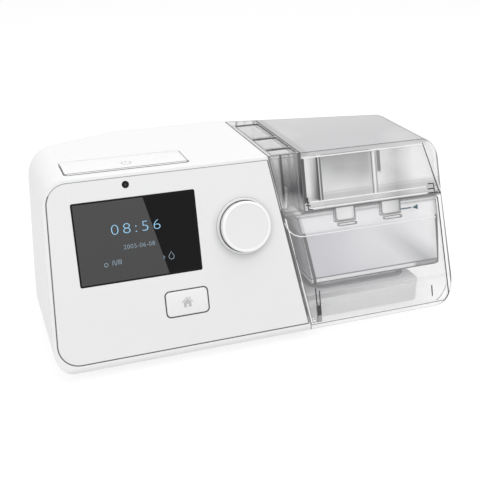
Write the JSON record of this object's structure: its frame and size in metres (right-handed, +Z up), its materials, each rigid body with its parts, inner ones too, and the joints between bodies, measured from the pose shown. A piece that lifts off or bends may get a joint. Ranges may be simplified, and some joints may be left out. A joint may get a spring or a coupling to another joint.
{
  "type": "bilevel pap machine",
  "caption": "Bedside bilevel positive airway pressure machine: tilted front panel with screen, knob and home button, start button on top, and a clear slide-on heated water tank with flip lid.",
  "frame": {"origin": "middle of the footprint on the table", "axes": "+X along the width towards the water tank, +Y to the back, +Z up"},
  "size_m": [0.265, 0.145, 0.114],
  "materials": {
    "white_shell": "satin moulded plastic",
    "panel_white": "fine matt moulded plastic",
    "light_grey": "plain moulded plastic",
    "screen_black": "glossy cover window",
    "clear_plastic": "smoked clear moulded plastic",
    "board_green": "circuit board",
    "steel": "satin",
    "plate_metal": "brushed",
    "copper_winding": "enamelled winding and foil",
    "black_part": "moulded plastic",
    "grey_rubber": "matt",
    "foam": "open foam",
    "filter_felt": "felt"
  },
  "bodies": {
    "main_unit": {"upper_casing": "white_shell", "base_tray": "light_grey", "foot_front_left": "grey_rubber", "foot_rear_left": "grey_rubber", "foot_front_right": "grey_rubber", "foot_rear_right": "grey_rubber", "casing_screws": "steel", "front_panel": "panel_white", "screen_window": "screen_black", "lcd_module": "steel", "sensor_lens": "screen_black", "main_board": "board_green", "board_screws": "steel", "encoder_body": "steel", "knob_collar": "light_grey", "home_switch": "black_part", "start_hinge_rod": "steel", "start_board": "board_green", "start_board_screws": "steel", "blower_cradle": "light_grey", "blower_bushes": "grey_rubber", "volute_lower": "light_grey", "volute_upper": "light_grey", "motor_can": "steel", "motor_stator": "copper_winding", "motor_bearings": "steel", "inlet_muffler": "light_grey", "muffler_foam": "foam", "inlet_hood": "grey_rubber", "outlet_duct": "light_grey", "flow_sensor": "board_green", "port_seal": "grey_rubber", "filter_pad": "filter_felt", "filter_door_pin": "steel", "power_board": "board_green", "dc_jack": "black_part", "ribbon_cable": "light_grey", "latch_post": "white_shell", "heater_base": "light_grey", "heater_plate": "plate_metal", "heater_element": "copper_winding", "heater_seal": "grey_rubber"},
    "home_key": {"home_button": "white_shell"},
    "start_key": {"start_button": "white_shell"},
    "knob_plunger": {"encoder_plunger": "steel"},
    "knob": {"encoder_shaft": "steel", "control_knob": "white_shell"},
    "rotor": {"impeller": "light_grey", "rotor_shaft": "steel"},
    "filter_door": {"filter_door": "white_shell"},
    "tank": {"tank_shell": "clear_plastic", "duct_insert": "clear_plastic", "water_tub": "clear_plastic", "tub_gasket": "grey_rubber", "tub_heat_plate": "plate_metal", "outlet_connector": "clear_plastic", "lid_hinge_pin": "steel"},
    "lid": {"flip_lid": "clear_plastic", "lid_baffle": "clear_plastic", "lid_seal": "grey_rubber"}
  },
  "joints": [
    {"name": "home_press", "type": "slide", "parent": "main_unit", "child": "home_key", "axis": [0, 0.9566, -0.2915], "range_m": [0, 0.0008], "stiffness_N_per_m": 1500, "springref_m": -0.0006},
    {"name": "start_press", "type": "hinge", "parent": "main_unit", "child": "start_key", "pos_m": [-0.076, -0.0125, 0.1087], "axis": [1, 0, 0], "range_deg": [0, 1.5], "stiffness_Nm_per_rad": 1, "springref_deg": -1.15},
    {"name": "knob_press", "type": "slide", "parent": "main_unit", "child": "knob_plunger", "axis": [0, 0.9566, -0.2915], "range_m": [0, 0.0008], "stiffness_N_per_m": 3000, "springref_m": -0.0005},
    {"name": "knob_turn", "type": "hinge", "parent": "knob_plunger", "child": "knob", "pos_m": [-0.0108, -0.05236, 0.07568], "axis": [0, -0.9566, 0.2915], "continuous": true},
    {"name": "rotor_spin", "type": "hinge", "parent": "main_unit", "child": "rotor", "pos_m": [-0.038, 0.007, 0.09], "axis": [0, 0, 1], "continuous": true},
    {"name": "filter_door_hinge", "type": "hinge", "parent": "main_unit", "child": "filter_door", "pos_m": [-0.018, 0.0476, 0.0526], "axis": [-1, 0, 0], "range_deg": [0, 80]},
    {"name": "tank_slide", "type": "slide", "parent": "main_unit", "child": "tank", "axis": [1, 0, 0], "range_m": [0, 0.112]},
    {"name": "lid_hinge", "type": "hinge", "parent": "tank", "child": "lid", "pos_m": [0.0791, 0.03099, 0.08], "axis": [-0.9845, 0.1754, 0], "range_deg": [0, 95]}
  ]
}
